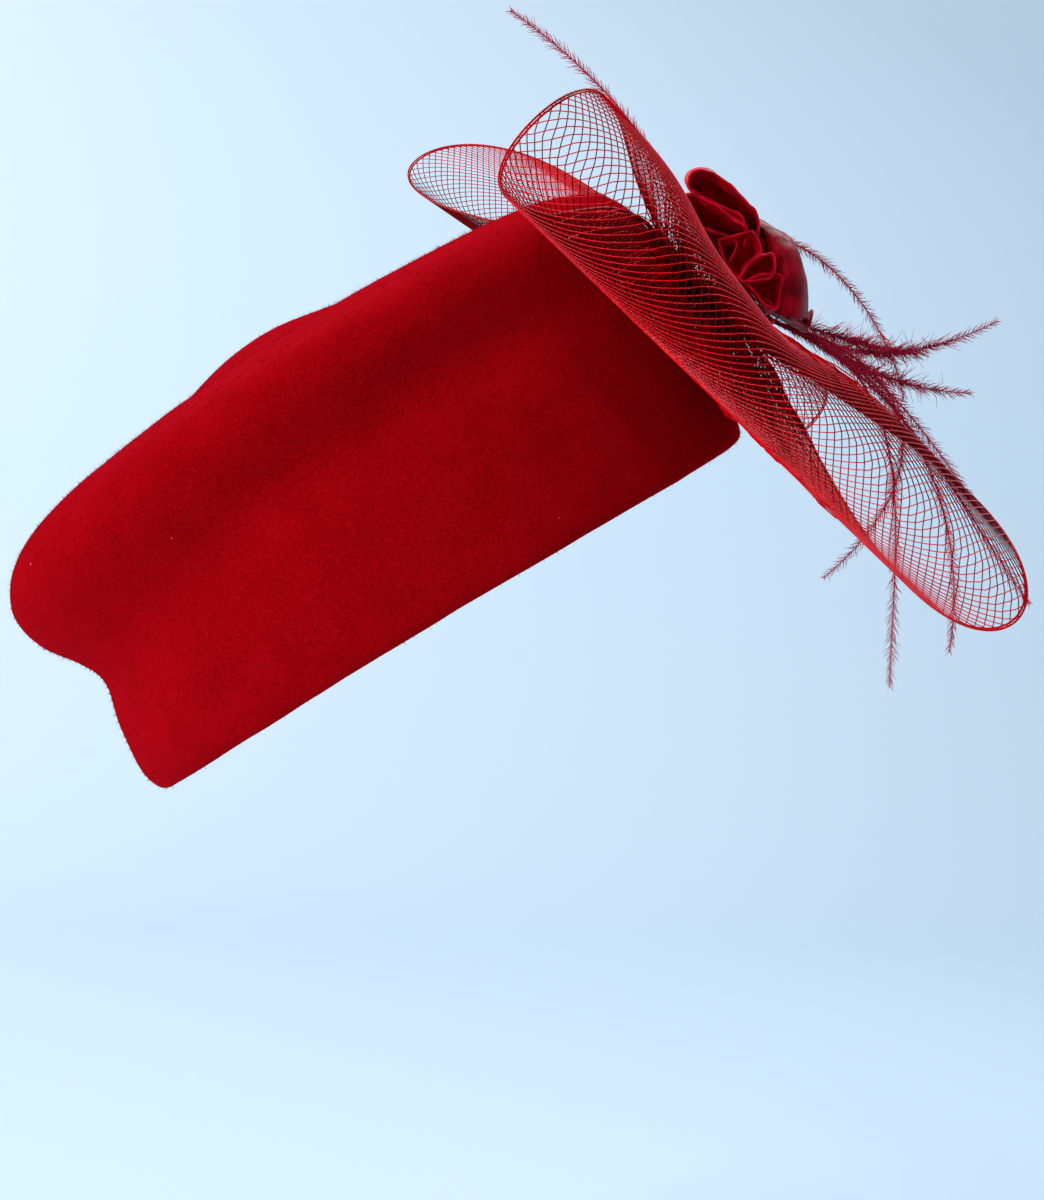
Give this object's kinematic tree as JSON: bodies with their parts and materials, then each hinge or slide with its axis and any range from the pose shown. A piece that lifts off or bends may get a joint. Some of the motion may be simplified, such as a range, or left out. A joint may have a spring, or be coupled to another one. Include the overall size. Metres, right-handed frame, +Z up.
{
  "type": "felt pillbox hat with a net bow, a fabric rose and a feather spray",
  "caption": "Hollow red felt pillbox crown, worn tipped back, with a wide pinched net bow at its front, a fabric rose over the knot and fine feather strands round it.",
  "frame": {"origin": "middle of the head opening, in the plane of the crown's lower edge", "axes": "+X is the front of the hat as worn, +Y the wearer's left, +Z up; the hat is tipped back, so its opening faces down and forward by 31.6 degrees"},
  "size_m": [0.3268, 0.2252, 0.246],
  "materials": {
    "felt": "short-napped wool felt",
    "net": "stiff open net with a slight sheen",
    "satin": "soft satin with crushed folds",
    "feather": "fine barbs, matt"
  },
  "bodies": {
    "root": {"felt_crown": "felt", "bow_knot": "net", "crin_loop_right": "net", "crin_loop_left": "net", "rose_base": "satin", "rose_bud": "satin", "rose_petal_inner_1": "satin", "rose_petal_inner_2": "satin", "rose_petal_inner_3": "satin", "rose_petal_inner_4": "satin", "rose_petal_outer_1": "satin", "rose_petal_outer_2": "satin", "rose_petal_outer_3": "satin", "rose_petal_outer_4": "satin", "rose_petal_outer_5": "satin", "feathers_top": "feather", "feathers_left": "feather", "feathers_front": "feather", "feathers_low": "feather"}
  },
  "joints": []
}
